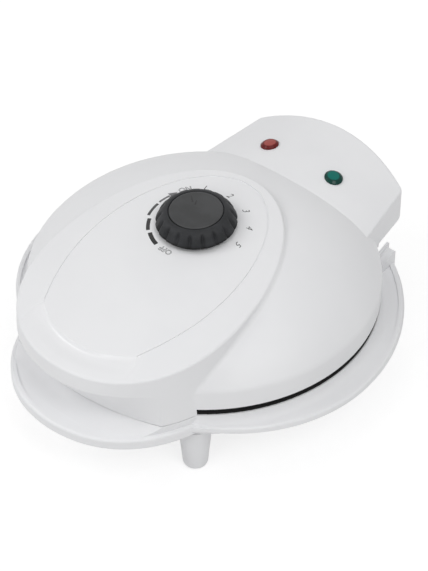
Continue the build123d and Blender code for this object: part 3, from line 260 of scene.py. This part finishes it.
class Wiring:
    """The nodes of one material, or of the world."""

    def __init__(self, owner):
        owner.use_nodes = True
        self.tree = owner.node_tree
        self.tree.nodes.clear()

    def connect(self, node, inputs):
        """Links a node's sockets to fields, or sets them to values."""
        for key, value in inputs.items():
            if isinstance(value, Field):
                self.tree.links.new(value.socket, node.inputs[key])
            else:
                node.inputs[key].default_value = value

    def node(self, kind, settings=None, inputs=None, output=0):
        """Makes a node of any kind. Gives one of its outputs, or None where it has none."""
        node = self.tree.nodes.new(kind)
        for key, value in (settings or {}).items():
            if key == "stops":
                ramp = node.color_ramp
                while len(ramp.elements) < len(value):
                    ramp.elements.new(0.5)
                for element, (position, colour) in zip(ramp.elements, value):
                    element.position = position
                    element.color = colour
            else:
                setattr(node, key, value)
        self.connect(node, inputs or {})
        return Field(self, node.outputs[output]) if node.outputs else None

    def math(self, operation, *values):
        return self.node("ShaderNodeMath", {"operation": operation}, dict(enumerate(values)))

    def vector(self, operation, *values, output="Vector"):
        return self.node("ShaderNodeVectorMath", {"operation": operation}, dict(enumerate(values)), output)

    def ramp(self, value, low=0.0, high=1.0, start=0.0, end=1.0):
        """Maps start..end of a value smoothly to low..high."""
        inputs = {"Value": value, "From Min": start, "From Max": end, "To Min": low, "To Max": high}
        return self.node("ShaderNodeMapRange", {"interpolation_type": "SMOOTHSTEP"}, inputs)

    def seen_directly(self):
        """1 where the camera, a mirror or clear glass looks at the studio, 0 for light."""
        rays = ("Is Camera Ray", "Is Glossy Ray", "Is Transmission Ray")
        camera, mirror, glass = [self.node("ShaderNodeLightPath", output=ray) for ray in rays]
        return self.math("MAXIMUM", self.math("MAXIMUM", camera, mirror), glass)


class Finish(Wiring):
    """One material of the object: a Principled shader and the nodes that drive it."""

    def __init__(self, name, sockets):
        self.material = bpy.data.materials.new(name)
        super().__init__(self.material)
        surface = self.node("ShaderNodeBsdfPrincipled", inputs=sockets)
        self.shader = surface.socket.node
        self.node("ShaderNodeOutputMaterial", inputs={"Surface": surface})
        self.place = self.node("ShaderNodeTexCoord", output="Object")

    def noise(self, scale, detail=2.0):
        pattern = {"Vector": self.place, "Scale": scale, "Detail": detail}
        return self.node("ShaderNodeTexNoise", inputs=pattern)

    def mix(self, factor, first, second):
        """Blends two colours. A Mix node takes them at its sockets 6 and 7."""
        inputs = {"Factor": factor, 6: first, 7: second}
        return self.node("ShaderNodeMix", {"data_type": "RGBA"}, inputs, output=2)

    def patches(self, shades, scale, detail=3.0, start=0.35, end=0.7):
        """A colour that drifts between two shades in soft patches."""
        return self.mix(self.ramp(self.noise(scale, detail), start=start, end=end), *shades)

    def distance(self, centre, axis=None):
        """How far the surface is from a centre, or from an axis through it, in metres."""
        away = self.vector("SUBTRACT", self.place, tuple(centre))
        if axis is not None:
            away = self.vector("CROSS_PRODUCT", away, tuple(axis))
        return self.vector("LENGTH", away, output="Value")

    def dress(self, colour, roughness, relief, depth, strength):
        """Connects the colour, the roughness and a relief with its depth in mm. Gives the material."""
        bump = {"Height": relief, "Distance": depth * mm, "Strength": strength}
        normal = self.node("ShaderNodeBump", inputs=bump)
        self.connect(self.shader, {"Base Color": colour, "Roughness": roughness, "Normal": normal})
        return self.material


def moulded_white(name, coat_roughness, thumbed=False):
    """Satin white housing: fine mould texture, flow clouds, soft gloss, polish where thumbs rub it."""
    finish = Finish(name, {"IOR": 1.5, "Specular IOR Level": 0.22, "Coat Roughness": coat_roughness})
    clouds = finish.noise(scale=18.0, detail=3.0)
    grain = finish.noise(scale=2600.0)
    ripple = finish.noise(scale=120.0)
    colour = finish.mix(finish.ramp(clouds, start=0.35, end=0.65), *HOUSING_SHADES)
    dull = finish.ramp(clouds, low=0.40, high=0.47, start=0.3, end=0.7)
    roughness = dull + finish.ramp(grain, low=-0.02, high=0.03)
    coat = finish.ramp(ripple, low=0.02, high=0.06, start=0.3, end=0.7)
    if thumbed:
        start, end = THUMB_POLISH_REACH
        reach = finish.distance(THUMB_CENTRE * mm, THUMB_UP)
        coat = coat + THUMB_POLISH * (1 - finish.ramp(reach, start=start * mm, end=end * mm))
    finish.connect(finish.shader, {"Coat Weight": coat})
    relief = grain * GRAIN_SHARE + ripple * (1 - GRAIN_SHARE)
    return finish.dress(colour, roughness, relief, depth=0.03, strength=0.35)


def knob_grey():
    """Dark grey knob plastic with a fine spark texture, and painted shade near black low on the side."""
    finish = Finish("knob_grey", {"IOR": 1.48, "Specular IOR Level": 0.15})
    grain = finish.noise(scale=3800.0)
    from_seat = finish.vector("SUBTRACT", finish.place, tuple(KNOB_PLACE))
    rise = finish.vector("DOT_PRODUCT", from_seat, tuple(KNOB_AXIS), output="Value")
    start, end = KNOB_PAINTED_SHADE_REACH
    # Painted shade: low on the side the colour goes near black, as the shadow under the knob's belly
    painted_shade = 1 - finish.ramp(rise, start=start * mm, end=end * mm)
    colour = finish.mix(painted_shade, finish.patches(KNOB_SHADES, scale=90.0), KNOB_PAINTED_SHADE)
    return finish.dress(colour, finish.ramp(grain, low=0.38, high=0.54), grain, depth=0.05, strength=0.5)


def cap_grey():
    """Cap disc of the knob: the same plastic, a little lighter and smoother."""
    finish = Finish("cap_grey", {"IOR": 1.48, "Specular IOR Level": 0.4})
    grain = finish.noise(scale=3000.0)
    colour = finish.patches(CAP_SHADES, scale=70.0)
    return finish.dress(colour, finish.ramp(grain, low=0.36, high=0.46), grain, depth=0.04, strength=0.4)


def non_stick():
    """Black non-stick coating: speckle, fine orange peel, soft sheen; the plates' rims are duller and carry
    painted shade near black.
    """
    finish = Finish("non_stick", {"IOR": 1.5, "Specular IOR Level": 0.2, "Metallic": 0.1})
    peel = finish.noise(scale=700.0)
    wear = finish.noise(scale=30.0, detail=4.0)
    low, high = [Vector(corner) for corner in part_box("lower_plate")]
    start, end = [(high.x - low.x) / 2 - inset * mm for inset in RIM_FADE]
    rim = finish.ramp(finish.distance((low + high) / 2, (0, 0, 1)), start=start, end=end)
    speckle = finish.patches(COATING_SHADES, scale=2200.0, detail=1.0, start=0.62, end=0.72)
    # Painted shade: towards the rims the colour goes near black, as the shade in the slot between lid and
    # base
    colour = finish.mix(rim, speckle, PLATE_RIM_PAINTED_SHADE)
    roughness = finish.ramp(wear, low=0.34, high=0.50, start=0.3, end=0.7) + rim * RIM_ROUGHENING
    return finish.dress(colour, roughness, peel, depth=0.08, strength=0.4)


def brushed_metal(name, shade, smooth, rough, scale):
    """Bare metal with a faint grain and uneven polish."""
    finish = Finish(name, {"Metallic": 1.0})
    grain = finish.noise(scale, detail=3.0)
    stain = tuple(STAIN_SHARE * part for part in shade)
    colour = finish.patches((stain + (1,), shade + (1,)), scale=60.0, start=0.3)
    return finish.dress(colour, finish.ramp(grain, low=smooth, high=rough), grain, depth=0.02, strength=0.5)


def heat_tint():
    """Element sheath: dark oxide with straw and blue heat colours in broad bands."""
    finish = Finish("heat_tint", {"Metallic": 0.9})
    bands = finish.noise(scale=45.0)
    grain = finish.noise(scale=1500.0)
    colour = finish.node("ShaderNodeValToRGB", {"stops": SHEATH_STOPS}, {"Fac": bands})
    return finish.dress(colour, finish.ramp(grain, low=0.38, high=0.60), grain, depth=0.03, strength=0.4)


def soft_rubber(name, shade):
    """Matt rubber with dust in a fine grain."""
    finish = Finish(name, {"IOR": 1.45})
    grain = finish.noise(scale=1800.0, detail=3.0)
    dust = tuple(DUST_SHARE * part for part in shade)
    colour = finish.patches((shade + (1,), dust + (1,)), scale=140.0)
    return finish.dress(colour, finish.ramp(grain, low=0.62, high=0.82), grain, depth=0.06, strength=0.5)


def insulating_plastic():
    """Cream heat-proof plastic of the terminal block, thermostat and sleeves."""
    finish = Finish("insulating_plastic", {"IOR": 1.5})
    grain = finish.noise(scale=1600.0)
    colour = finish.patches(CREAM_SHADES, scale=80.0, start=0.3)
    return finish.dress(colour, finish.ramp(grain, low=0.40, high=0.58), grain, depth=0.04, strength=0.4)


def clear_lens(node, rim, flat):
    """Coloured lens: deep at its bevelled rim, paler with painted light on the flat over the lamp, glossy
    skin.
    """
    gloss = {"IOR": 1.49, "Specular IOR Level": 0.16, "Coat Weight": 0.06, "Coat Roughness": 0.06}
    finish = Finish(node, gloss)
    ripple = finish.noise(scale=900.0, detail=1.0)
    low, high = [Vector(corner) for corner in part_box(node)]
    top = (low + high) / 2
    top.z = high.z
    start, end = LENS_PAINTED_LIGHT_REACH
    reach = finish.distance(top) + ripple * (LENS_WAVER * mm)
    # Painted light: the flat over the lamp gets a paler colour than the deep rim
    colour = finish.mix(1 - finish.ramp(reach, start=start * mm, end=end * mm), rim, flat)
    return finish.dress(colour, finish.ramp(ripple, low=0.16, high=0.26), ripple, depth=0.02, strength=0.3)


def lamp_glass():
    """Clear glass envelope of the lamps."""
    finish = Finish("lamp_glass", {"IOR": 1.5, "Transmission Weight": 0.85})
    haze = finish.noise(scale=500.0)
    colour = finish.mix(haze, *GLASS_SHADES)
    return finish.dress(colour, finish.ramp(haze, low=0.05, high=0.16), haze, depth=0.02, strength=0.3)


def print_ink(name, level):
    """Pad-printed ink of one grey, slightly uneven."""
    finish = Finish(name, {"IOR": 1.48})
    uneven = finish.noise(scale=900.0, detail=3.0)
    shades = [tuple(level * part for part in tint) + (1,) for tint in INK_TINTS]
    colour = finish.mix(finish.ramp(uneven, start=0.3, end=0.7), *shades)
    return finish.dress(colour, finish.ramp(uneven, low=0.40, high=0.55), uneven, depth=0.01, strength=0.3)


def dress_frame():
    """Gives every CAD node its material, and returns the materials by node."""
    white = moulded_white("white_housing", coat_roughness=0.12)
    coating = non_stick()
    steel = brushed_metal("bright_steel", STEEL_SHADE, smooth=0.22, rough=0.38, scale=1400.0)
    aluminium = brushed_metal("sheet_aluminium", ALUMINIUM_SHADE, smooth=0.30, rough=0.48, scale=900.0)
    cream = insulating_plastic()
    glass = lamp_glass()
    sheath = heat_tint()
    finishes = {
        "base_housing": white,
        "lid_housing": white,
        "foot_pads": soft_rubber("pad_rubber", PAD_SHADE),
        "inlet_bush": soft_rubber("bush_rubber", BUSH_SHADE),
        "lower_plate": coating,
        "upper_plate": coating,
        "lower_element": sheath,
        "upper_element": sheath,
        "lower_reflector": aluminium,
        "upper_reflector": aluminium,
        "thermal_fuse": aluminium,
        "lower_plate_screws": steel,
        "upper_plate_screws": steel,
        "hinge_pins": steel,
        "thermostat_bracket": steel,
        "thermostat_screws": steel,
        "thermostat_shaft": steel,
        "thermostat": cream,
        "terminal_block": cream,
        "lamp_sleeves": cream,
        "red_lamp": glass,
        "green_lamp": glass,
        "red_lens": clear_lens("red_lens", *RED_SHADES),
        "green_lens": clear_lens("green_lens", *GREEN_SHADES),
        "knob": knob_grey(),
        "knob_cap": cap_grey(),
    }
    for name, node in frame["nodes"].items():
        node.data.materials.clear()
        node.data.materials.append(finishes[name])
    return finishes


def surface_of(carrier):
    """The skin of a piece, for laying something on it."""
    data = carrier.data
    places = [vertex.co for vertex in data.vertices]
    return BVHTree.FromPolygons(places, [tuple(face.vertices) for face in data.polygons])


def finish_piece(name, mesh, materials, body):
    """Turns a bmesh into a piece that rides on a body."""
    bmesh.ops.recalc_face_normals(mesh, faces=mesh.faces)
    data = bpy.data.meshes.new(name)
    mesh.to_mesh(data)
    mesh.free()
    for material in materials:
        data.materials.append(material)
    piece = bpy.data.objects.new(name, data)
    bpy.context.scene.collection.objects.link(piece)
    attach(piece, body)
    return piece


def thicken(mesh, faces, lift):
    """Gives a patch of faces a thickness."""
    moved = bmesh.ops.extrude_face_region(mesh, geom=faces)["geom"]
    corners = [part for part in moved if isinstance(part, bmesh.types.BMVert)]
    bmesh.ops.translate(mesh, verts=corners, vec=lift)


def swept(mesh, places, start, angle, steps):
    """Sweeps a line of points through an angle about the z axis, from a start angle."""
    line = [mesh.edges.new(pair) for pair in zip(places, places[1:])]
    turn = Matrix.Rotation(start, 3, "Z")
    bmesh.ops.rotate(mesh, verts=places, cent=(0, 0, 0), matrix=turn)
    sweep = {"cent": (0, 0, 0), "axis": (0, 0, 1), "angle": angle, "steps": steps}
    bmesh.ops.spin(mesh, geom=places + line, **sweep)


def ink_over(mesh, faces, ink):
    """Gives a flat patch the thickness of ink, sunk a little into what carries it."""
    for face in faces:
        face.material_index = ink
    thicken(mesh, faces, (0, 0, INK_RAISED + INK_SUNK))


def dial_place(angle, radius):
    """A point on the underside of a flat drawing, by its angle and radius."""
    return Vector((radius * cos(radians(angle)), radius * sin(radians(angle)), -INK_SUNK))


def lay_on(mesh, surface, centre):
    """Moves a flat drawing down the knob's axis onto a surface. Its own z stays as thickness."""
    for vertex in mesh.verts:
        start = centre + DIAL_RIGHT * vertex.co.x + DIAL_REAR * vertex.co.y + KNOB_AXIS * DIAL_PROBE
        place = surface.ray_cast(start, -KNOB_AXIS)[0]
        vertex.co = place + KNOB_AXIS * vertex.co.z


def lettering(words, height, line):
    """A word or number as a mesh that stands on the origin: drawn in a line, or else filled and leaning."""
    curve = bpy.data.curves.new("lettering", "FONT")
    curve.body = words
    curve.size = height / CAPITAL_SHARE
    curve.align_x = "CENTER"
    curve.resolution_u = LETTER_STEPS
    if line:
        curve.fill_mode = "NONE"
        curve.bevel_depth = line / 2
        curve.bevel_resolution = 0
    else:
        curve.shear = NUMBER_LEAN
        curve.offset = -NUMBER_THINNING * height
        curve.extrude = (INK_RAISED + INK_SUNK) / 2
    holder = bpy.data.objects.new("lettering", curve)
    bpy.context.scene.collection.objects.link(holder)
    made = holder.evaluated_get(bpy.context.evaluated_depsgraph_get())
    data = bpy.data.meshes.new_from_object(made)
    bpy.data.objects.remove(holder)
    bpy.data.curves.remove(curve)
    return data


def place_lettering(mesh, data, angle, foot_radius):
    """Adds lettering to a drawing with its top turned away from the dial's centre."""
    known = set(mesh.verts)
    mesh.from_mesh(data)
    bpy.data.meshes.remove(data)
    new = [vertex for vertex in mesh.verts if vertex not in known]
    bmesh.ops.remove_doubles(mesh, verts=new, dist=LETTER_SEAM_REACH)
    new = [vertex for vertex in mesh.verts if vertex not in known]
    lowest = min(vertex.co.z for vertex in new)
    highest = max(vertex.co.z for vertex in new)
    share = (INK_RAISED + INK_SUNK) / (highest - lowest)
    for vertex in new:
        vertex.co.z = (vertex.co.z - lowest) * share - INK_SUNK
    bmesh.ops.translate(mesh, verts=new, vec=(0, foot_radius, 0))
    turn = Matrix.Rotation(radians(angle - 90), 3, "Z")
    bmesh.ops.rotate(mesh, verts=new, cent=(0, 0, 0), matrix=turn)


def print_round(name, places, height, line, surface, ink):
    """Prints words or numbers round the dial, each centred on its radius."""
    mesh = bmesh.new()
    for words, (angle, radius) in places.items():
        place_lettering(mesh, lettering(words, height, line), angle, radius - height / 2)
    lay_on(mesh, surface, DIAL_CENTRE)
    finish_piece(name, mesh, [ink], "lid")


def print_bars(surface, inks):
    """Four bars that grow thinner and paler from OFF, then the arrow towards ON."""
    mesh = bmesh.new()
    used = []
    for first, last, inner, outer, ink in BARS:
        known = set(mesh.faces)
        ends = [mesh.verts.new((radius, 0, -INK_SUNK)) for radius in (inner, outer)]
        swept(mesh, ends, radians(first), radians(last - first), BAR_STEPS)
        used.append(inks[ink])
        ink_over(mesh, [face for face in mesh.faces if face not in known], len(used) - 1)
    corners = [mesh.verts.new(dial_place(*corner)) for corner in ARROW]
    ink_over(mesh, [mesh.faces.new(corners)], len(used) - 1)
    lay_on(mesh, surface, DIAL_CENTRE)
    finish_piece("dial_bars", mesh, used, "lid")


def mark_pointer(cap, ink):
    """The small pointer on the knob's cap: two short dark strokes that taper."""
    mesh = bmesh.new()
    for ends in POINTER:
        tip, foot = [dial_place(*end) for end in ends]
        across = (foot - tip).cross(Vector((0, 0, 1))).normalized() * POINTER_WIDTH / 2
        tip_across = across * POINTER_TIP_SHARE
        corners = (tip - tip_across, tip + tip_across, foot + across, foot - across)
        outline = [mesh.verts.new(corner) for corner in corners]
        ink_over(mesh, [mesh.faces.new(outline)], 0)
    lay_on(mesh, surface_of(cap), KNOB_PLACE)
    finish_piece("knob_pointer", mesh, [ink], "knob")


def print_dial(cap):
    """Everything printed on the panel round the knob and on the knob's cap."""
    surface = surface_of(frame["nodes"]["lid_housing"])
    inks = {name: print_ink(name, level) for name, level in INKS.items()}
    print_round("dial_numbers", NUMBER_PLACES, NUMBER_HEIGHT, 0.0, surface, inks["ink_fine"])
    print_round("dial_words", WORD_PLACES, WORD_HEIGHT, WORD_LINE, surface, inks["ink_fine"])
    print_bars(surface, inks)
    mark_pointer(cap, inks["ink_black"])


def flute_share(angle, height):
    """How deep the flutes are at an angle round the knob and a height on its side."""
    pitch = 360.0 / FLUTES
    off = (angle - FLUTE_TURN + pitch / 2) % pitch - pitch / 2
    across = max(0.0, 1.0 - abs(off) / FLUTE_HALF_WIDTH) ** FLUTE_SHARPNESS
    if height < FLUTE_CREST:
        along = (height - FLUTE_FOOT) / (FLUTE_CREST - FLUTE_FOOT)
    else:
        along = (FLUTE_END - height) / (FLUTE_END - FLUTE_CREST)
    along = min(1.0, max(0.0, along))
    return across * along * (2 - along)


def turned(mesh, profile, steps):
    """Spins a side profile in mm about the z axis."""
    places = [mesh.verts.new((radius, 0, height)) for radius, height in profile]
    side = [mesh.edges.new(pair) for pair in zip(places, places[1:])]
    turn = {"cent": (0, 0, 0), "axis": (0, 0, 1), "angle": 2 * pi, "steps": steps, "use_merge": True}
    bmesh.ops.spin(mesh, geom=places + side, **turn)
    bmesh.ops.remove_doubles(mesh, verts=mesh.verts, dist=SEAM_REACH)


def stand_on_seat(mesh):
    """Closes a turned shape at its open ends and stands it on the knob's seat."""
    rims = [edge for edge in mesh.edges if edge.is_boundary]
    bmesh.ops.holes_fill(mesh, edges=rims, sides=0)
    for vertex in mesh.verts:
        x, y, z = vertex.co
        vertex.co = KNOB_PLACE + (DIAL_RIGHT * x + DIAL_REAR * y + KNOB_AXIS * z) * mm
    for face in mesh.faces:
        face.smooth = len(face.verts) <= 4


def shape_cap(material):
    """Low crowned disc with a rounded edge inside the knob's ring."""
    mesh = bmesh.new()
    turned(mesh, CAP_SIDE, CAP_STEPS)
    stand_on_seat(mesh)
    piece = finish_piece("knob_disc", mesh, [material], "knob")
    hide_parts("knob_cap")
    return piece


def shape_knob(material):
    """Knob with wide ribs between narrow flutes that run out below the shoulder."""
    mesh = bmesh.new()
    turned(mesh, KNOB_SIDE, FLUTES * FLUTE_STEPS)
    for vertex in mesh.verts:
        x, y, height = vertex.co
        depth = FLUTE_DEPTH * flute_share(degrees(atan2(y, x)), height)
        kept = 1 - depth / hypot(x, y)
        vertex.co = (x * kept, y * kept, height)
    stand_on_seat(mesh)
    piece = finish_piece("knob_grip", mesh, [material], "knob")
    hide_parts("knob")


def thumb_dip(share, across):
    """Depth of the thumb rest: steep behind, fading out towards the rim and the sides."""
    if share < THUMB_STEEP:
        dip = sin(pi / 2 * max(0.0, share) / THUMB_STEEP)
    else:
        dip = cos(pi / 2 * min(1.0, (share - THUMB_STEEP) / (1 - THUMB_STEEP))) ** 2
    return THUMB_DEPTH * dip * max(0.0, 1 - (across / THUMB_HALF_WIDTH) ** 2)


def thumb_place(radius, angle, height):
    """A point round the thumb rest's upright, in metres."""
    level = THUMB_AHEAD * cos(angle) + DIAL_RIGHT * sin(angle)
    return (THUMB_CENTRE + level * radius + THUMB_UP * height) * mm


def panel_height(surface, radius, angle):
    """How high up the thumb rest's upright the panel is there, in mm."""
    hit = surface.ray_cast(thumb_place(radius, angle, THUMB_PROBE), -THUMB_UP)[0]
    return (hit / mm - THUMB_CENTRE).dot(THUMB_UP)


def shape_thumb_rest(material):
    """Dished inlay that lies in the hollow in front on the panel, flush all round."""
    surface = surface_of(frame["nodes"]["lid_housing"])
    mesh = bmesh.new()
    line = [mesh.verts.new((THUMB_RADIUS + share * THUMB_REACH, 0, 0)) for share in THUMB_RINGS]
    swept(mesh, line, -THUMB_HALF_ANGLE, 2 * THUMB_HALF_ANGLE, THUMB_STEPS)
    for vertex in mesh.verts:
        share = (vertex.co.xy.length - THUMB_RADIUS) / THUMB_REACH
        angle = atan2(vertex.co.y, vertex.co.x)
        # The hollow's rear edge leans in where the crowned panel falls away to the sides
        rear = THUMB_RADIUS - (THUMB_RADIUS * sin(angle)) ** 2 / THUMB_LEAN
        front = THUMB_RADIUS + THUMB_REACH
        radius = rear + share * (front - rear)
        across = radius * sin(angle)
        behind = panel_height(surface, rear - THUMB_EDGE, angle)
        ahead = panel_height(surface, front + THUMB_EDGE, angle)
        height = behind + (ahead - behind) * min(1.0, max(0.0, share))
        tuck = THUMB_EDGE if share < 0 or share > 1 else 0.0
        sink = THUMB_SINK * (max(0.0, abs(across) - THUMB_SIDE) / THUMB_FADE) ** 2
        vertex.co = thumb_place(radius, angle, height - thumb_dip(share, across) - tuck - sink)
    for face in mesh.faces:
        face.smooth = True
    thicken(mesh, mesh.faces[:], -THUMB_UP * THUMB_WALL * mm)
    finish_piece("thumb_rest", mesh, [material], "lid")


def place_camera():
    data = bpy.data.cameras.new("photo_camera")
    data.sensor_fit = "HORIZONTAL"
    data.sensor_width = SENSOR_WIDTH
    data.lens = PHOTO_FOCAL / PHOTO_WIDTH * SENSOR_WIDTH
    data.clip_start = CAMERA_NEAR
    data.clip_end = CAMERA_FAR
    camera = bpy.data.objects.new("photo_camera", data)
    bpy.context.scene.collection.objects.link(camera)
    camera.location = CAMERA_PLACE
    camera.rotation_euler = (CAMERA_TARGET - CAMERA_PLACE).to_track_quat("-Z", "Y").to_euler()
    bpy.context.scene.camera = camera


def white_studio_world():
    """Soft light from all round that looks plain white where it is seen."""
    world = bpy.data.worlds.new("studio")
    bpy.context.scene.world = world
    wiring = Wiring(world)
    light = wiring.node("ShaderNodeBackground", inputs={"Color": STUDIO_WHITE, "Strength": AMBIENT})
    white = wiring.node("ShaderNodeBackground", inputs={"Color": STUDIO_WHITE, "Strength": 1.0})
    sky = wiring.node("ShaderNodeMixShader", inputs={0: wiring.seen_directly(), 1: light, 2: white})
    wiring.node("ShaderNodeOutputWorld", inputs={"Surface": sky})


def floor_white():
    """Pale floor paint. Seen directly it glows almost to white, and keeps a soft shadow."""
    paint = bpy.data.materials.new("floor_white")
    wiring = Wiring(paint)
    bounce = wiring.node("ShaderNodeBsdfDiffuse", inputs={"Color": FLOOR_BOUNCE})
    shade = wiring.node("ShaderNodeBsdfDiffuse", inputs={"Color": FLOOR_SHADE})
    place = wiring.node("ShaderNodeTexCoord", output="Object")
    reach = wiring.vector("LENGTH", place, output="Value")
    strength = wiring.ramp(reach, *FLOOR_GLOW, *FLOOR_GLOW_REACH)
    glow = wiring.node("ShaderNodeEmission", inputs={"Strength": strength})
    shown = wiring.node("ShaderNodeAddShader", inputs={0: shade, 1: glow})
    seen = wiring.node("ShaderNodeMixShader", inputs={0: wiring.seen_directly(), 1: bounce, 2: shown})
    wiring.node("ShaderNodeOutputMaterial", inputs={"Surface": seen})
    return paint


def lay_floor():
    mesh = bmesh.new()
    bmesh.ops.create_circle(mesh, cap_ends=True, segments=FLOOR_SIDES, radius=FLOOR_RADIUS)
    data = bpy.data.meshes.new("floor")
    mesh.to_mesh(data)
    mesh.free()
    data.materials.append(floor_white())
    floor = bpy.data.objects.new("floor", data)
    bpy.context.scene.collection.objects.link(floor)


def light_studio():
    for name, place, size, power in LAMPS:
        data = bpy.data.lights.new(name, "AREA")
        data.shape = "DISK"
        data.size = size
        data.energy = power
        lamp = bpy.data.objects.new(name, data)
        bpy.context.scene.collection.objects.link(lamp)
        lamp.location = place
        lamp.rotation_euler = (LAMP_TARGET - Vector(place)).to_track_quat("-Z", "Y").to_euler()


bpy.context.scene.view_settings.view_transform = "Standard"
place_camera()
white_studio_world()
lay_floor()
light_studio()
finishes = dress_frame()
shape_thumb_rest(moulded_white("thumbed_white", coat_roughness=0.2, thumbed=True))
shape_knob(finishes["knob"])
print_dial(shape_cap(finishes["knob_cap"]))
